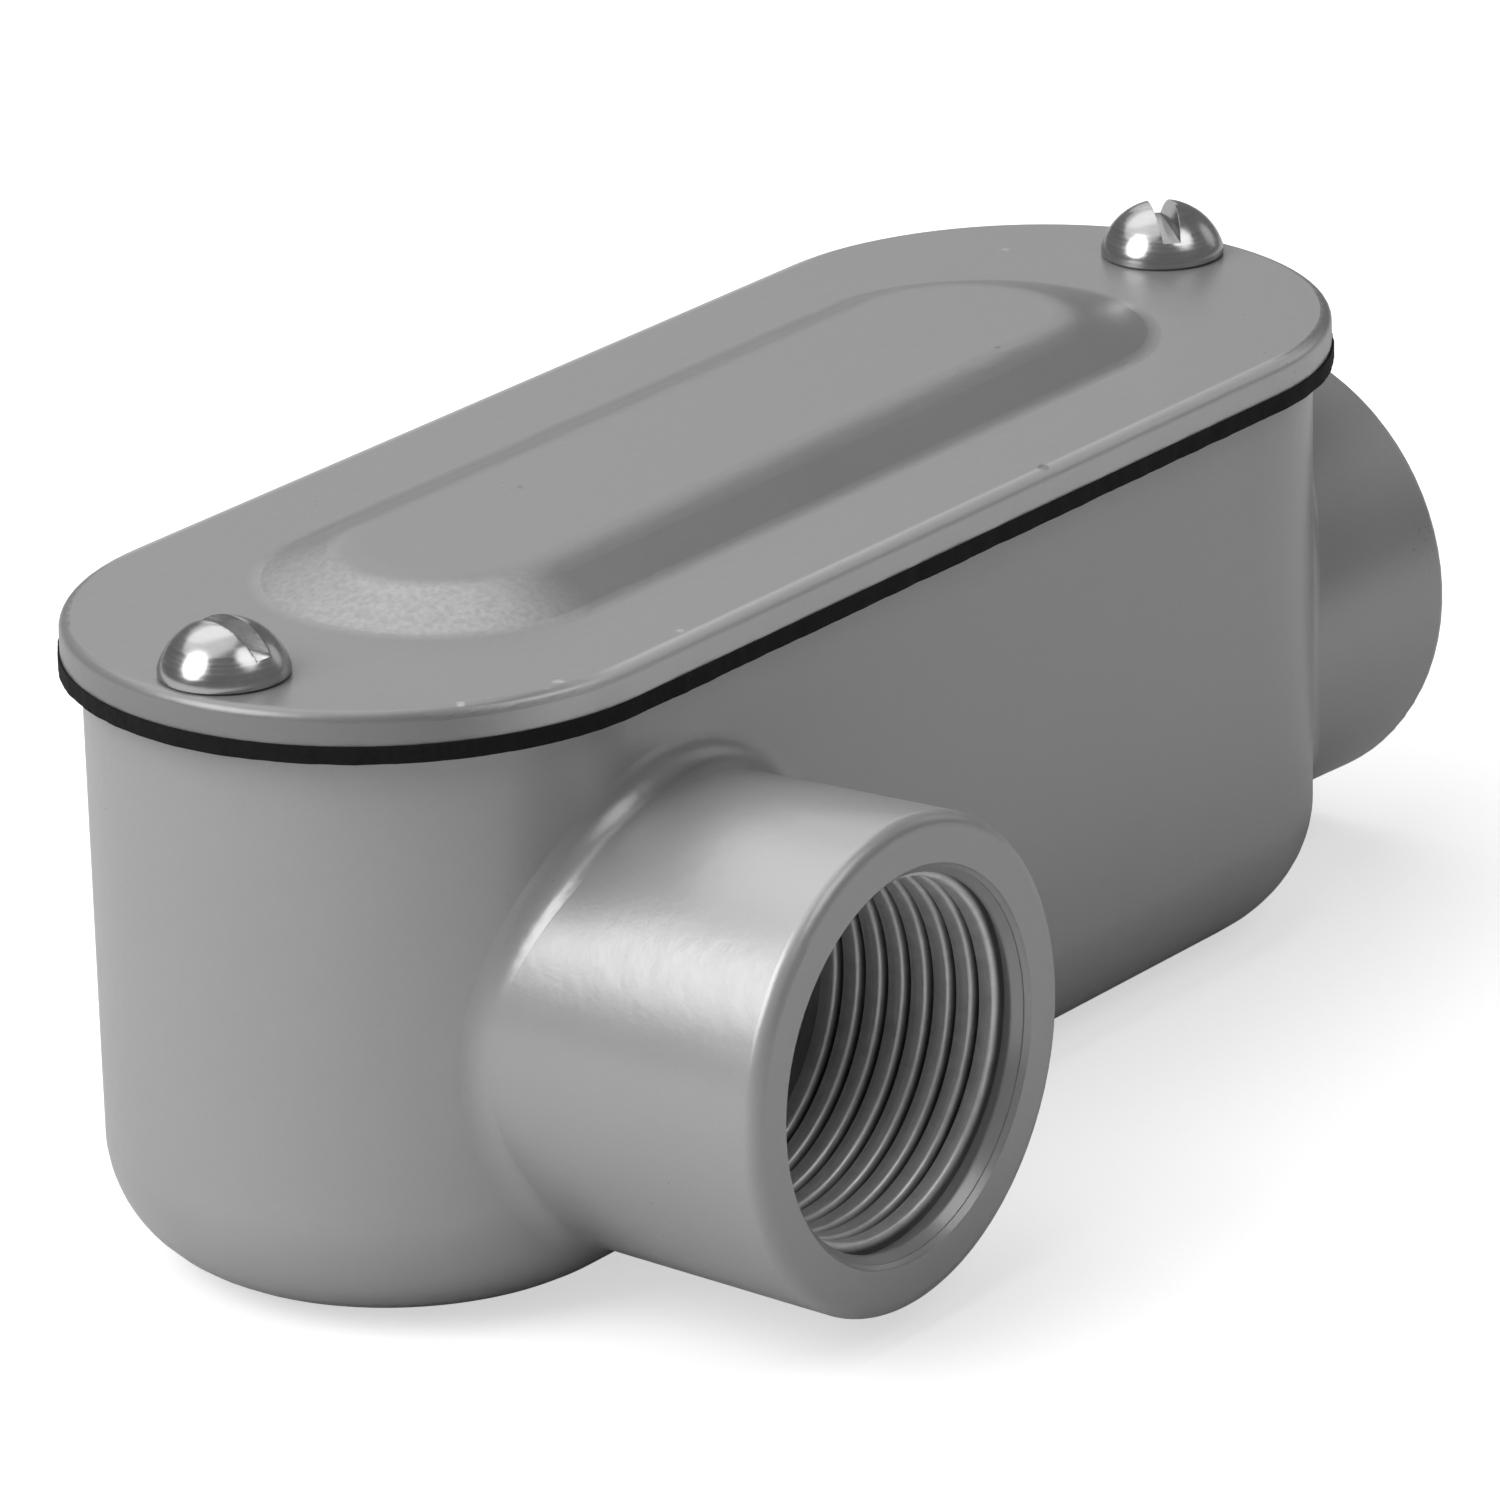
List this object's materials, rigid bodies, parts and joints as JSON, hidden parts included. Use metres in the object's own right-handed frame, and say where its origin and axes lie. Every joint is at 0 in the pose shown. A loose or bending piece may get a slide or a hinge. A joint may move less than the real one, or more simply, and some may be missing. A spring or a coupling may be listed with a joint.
{
  "type": "conduit body",
  "caption": "Die-cast threaded conduit body with an end hub, a side hub and a screwed cover on a rubber gasket.",
  "frame": {"origin": "middle of the box's flat back, which lies on z = 0", "axes": "+X along the box and out of the end hub, -Y out of the side hub, +Z out of the back towards the cover"},
  "size_m": [0.1232, 0.0607, 0.049],
  "materials": {
    "casting_paint": "satin grey paint over die-cast aluminium",
    "cover_paint": "satin grey paint over die-cast aluminium",
    "gasket_rubber": "matt black synthetic rubber",
    "screw_plating": "bright zinc-plated steel"
  },
  "bodies": {
    "casting": {"body_casting": "casting_paint"},
    "cover": {"cover_plate": "cover_paint", "gasket": "gasket_rubber"},
    "screw_near": {"cover_screw_near": "screw_plating"},
    "screw_far": {"cover_screw_far": "screw_plating"}
  },
  "joints": [
    {"name": "cover_lift", "type": "slide", "parent": "casting", "child": "cover", "axis": [0, 0, 1], "range_m": [0, 0.03]},
    {"name": "screw_near_out", "type": "slide", "parent": "cover", "child": "screw_near", "axis": [0, 0, 1], "range_m": [0, 0.012]},
    {"name": "screw_far_out", "type": "slide", "parent": "cover", "child": "screw_far", "axis": [0, 0, 1], "range_m": [0, 0.012]}
  ]
}
